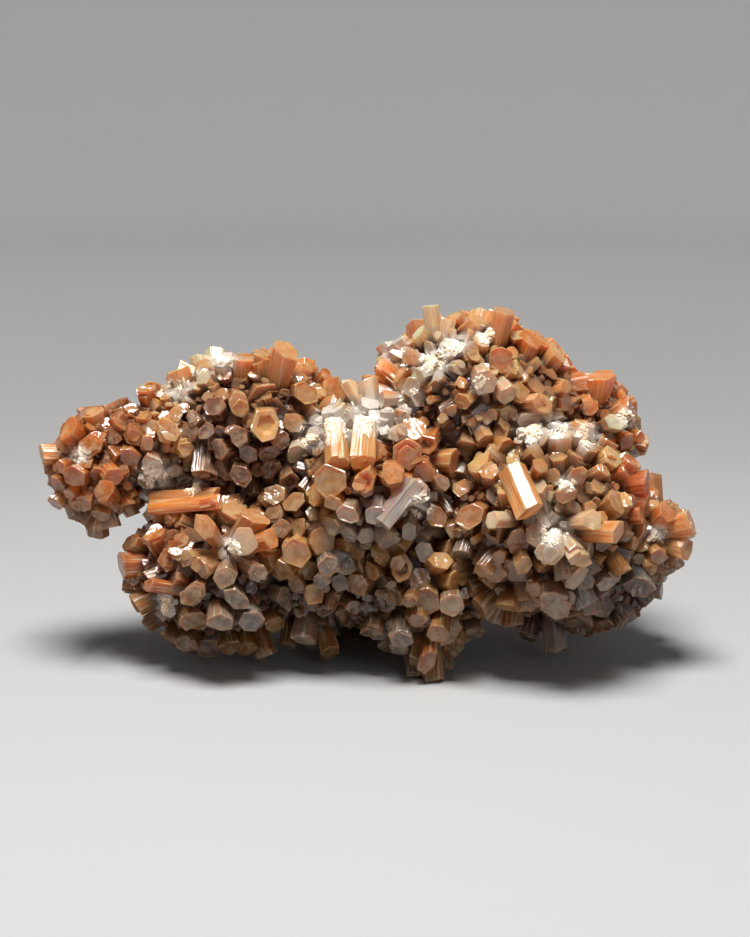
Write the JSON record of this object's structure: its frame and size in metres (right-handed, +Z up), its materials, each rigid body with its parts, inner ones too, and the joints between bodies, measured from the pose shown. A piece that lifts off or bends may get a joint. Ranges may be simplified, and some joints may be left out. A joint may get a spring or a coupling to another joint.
{
  "type": "aragonite crystal cluster",
  "caption": "Hand-sized cluster of honey-orange aragonite: stubby six-sided crystals with flat ends, fanning out in rosettes that have grown together.",
  "frame": {"origin": "centre of the bounding box at the base, on the surface it rests on", "axes": "+X along the cluster's length, towards its blunt end; +Y to the back; +Z up"},
  "size_m": [0.1798, 0.0946, 0.0984],
  "materials": {
    "aragonite": "translucent honey-orange calcium carbonate, glassy on the crystal faces, white and powdery where the rosettes meet"
  },
  "bodies": {
    "root": {"aragonite_cluster": "aragonite"}
  },
  "joints": []
}
